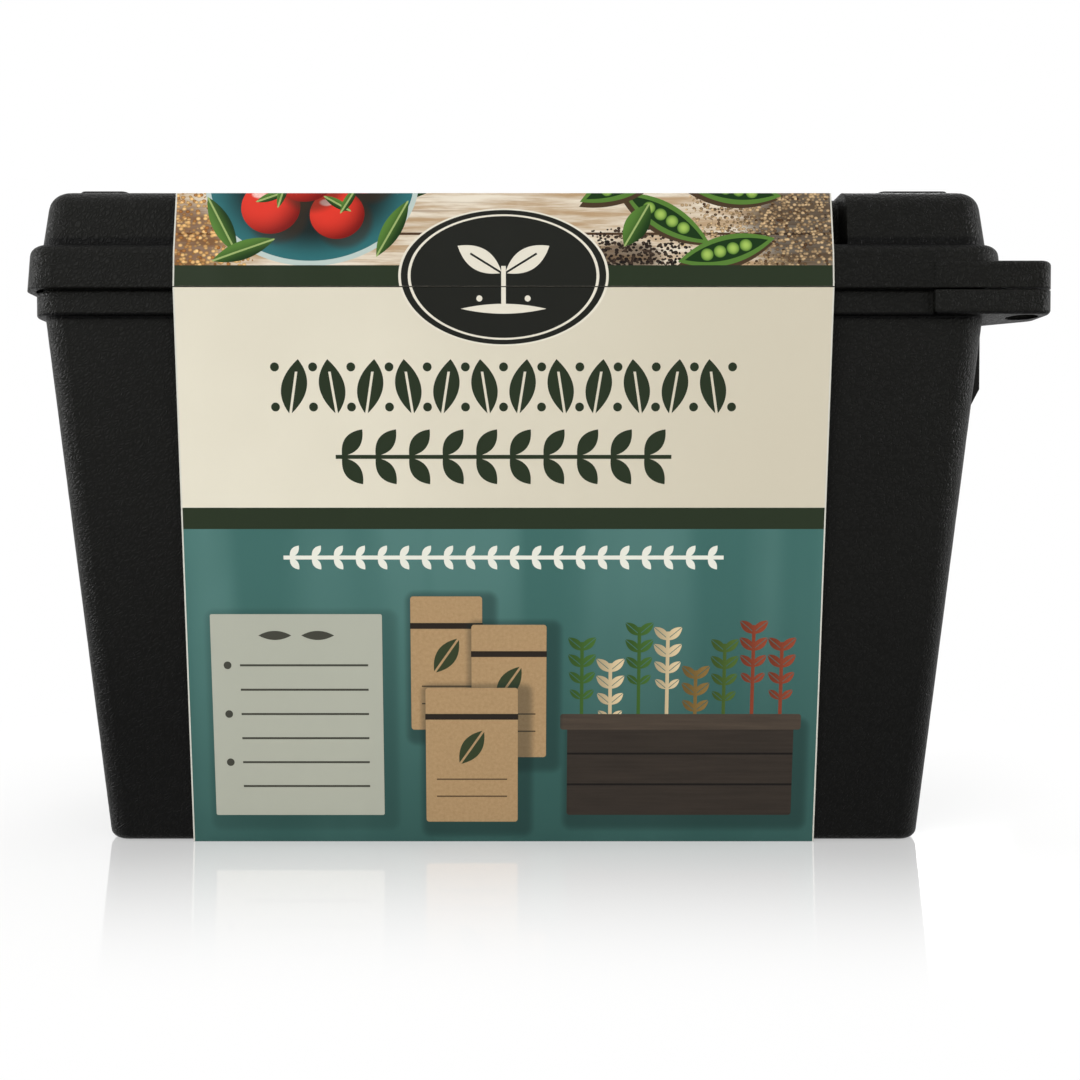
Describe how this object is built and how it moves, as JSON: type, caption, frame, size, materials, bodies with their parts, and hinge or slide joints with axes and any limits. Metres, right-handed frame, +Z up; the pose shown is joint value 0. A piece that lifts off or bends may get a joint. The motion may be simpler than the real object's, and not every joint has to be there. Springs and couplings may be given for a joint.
{
  "type": "garden seed organizer box",
  "caption": "Black moulded can with a hinged latching lid, carry handle and printed card sleeve, holding a file of kraft card dividers and seed envelopes.",
  "frame": {"origin": "on the floor under the middle of the can's base", "axes": "+X along the box towards the latch, +Y to its back, +Z up"},
  "size_m": [0.2885, 0.1314, 0.1845],
  "materials": {
    "can_plastic": "black moulded plastic with a fine leather grain",
    "lid_plastic": "black moulded plastic with a fine leather grain",
    "latch_plastic": "black moulded plastic with a fine leather grain",
    "handle_plastic": "black moulded plastic, fine matt grain",
    "gasket_rubber": "matt black rubber",
    "pin_steel": "bright steel",
    "sleeve_card": "coated card printed in cream, dark green and teal",
    "divider_card": "brown kraft card with a black tab",
    "envelope_paper": "brown kraft paper"
  },
  "bodies": {
    "can": {"can_body": "can_plastic", "hinge_pin": "pin_steel", "sleeve_lower": "sleeve_card"},
    "lid": {"lid_shell": "lid_plastic", "lid_gasket": "gasket_rubber", "latch_pin": "pin_steel", "sleeve_upper": "sleeve_card"},
    "latch": {"latch_lever": "latch_plastic"},
    "handle": {"handle": "handle_plastic"},
    "card_file": {"divider_01": "divider_card", "divider_02": "divider_card", "divider_03": "divider_card", "divider_04": "divider_card", "divider_05": "divider_card", "divider_06": "divider_card", "divider_07": "divider_card", "divider_08": "divider_card", "divider_09": "divider_card", "divider_10": "divider_card", "divider_11": "divider_card", "divider_12": "divider_card", "divider_13": "divider_card", "divider_14": "divider_card", "divider_15": "divider_card", "envelope_01": "envelope_paper", "envelope_02": "envelope_paper", "envelope_03": "envelope_paper", "envelope_04": "envelope_paper", "envelope_05": "envelope_paper", "envelope_06": "envelope_paper", "envelope_07": "envelope_paper", "envelope_08": "envelope_paper", "envelope_09": "envelope_paper", "envelope_10": "envelope_paper", "envelope_11": "envelope_paper", "envelope_12": "envelope_paper", "envelope_13": "envelope_paper", "envelope_14": "envelope_paper", "envelope_15": "envelope_paper", "envelope_16": "envelope_paper", "envelope_17": "envelope_paper", "envelope_18": "envelope_paper", "envelope_19": "envelope_paper", "envelope_20": "envelope_paper"}
  },
  "joints": [
    {"name": "lid_hinge", "type": "hinge", "parent": "can", "child": "lid", "pos_m": [-0.13871, 0, 0.1512], "axis": [0, -1, 0], "range_deg": [0, 110]},
    {"name": "latch_swing", "type": "hinge", "parent": "lid", "child": "latch", "pos_m": [0.13871, 0, 0.161], "axis": [0, -1, 0], "range_deg": [0, 100]},
    {"name": "handle_swing", "type": "hinge", "parent": "lid", "child": "handle", "pos_m": [-0.0029, 0.01, 0.1776], "axis": [-1, 0, 0], "range_deg": [0, 90]},
    {"name": "card_slide", "type": "slide", "parent": "can", "child": "card_file", "axis": [1, 0, 0], "range_m": [0, 0.173]}
  ]
}
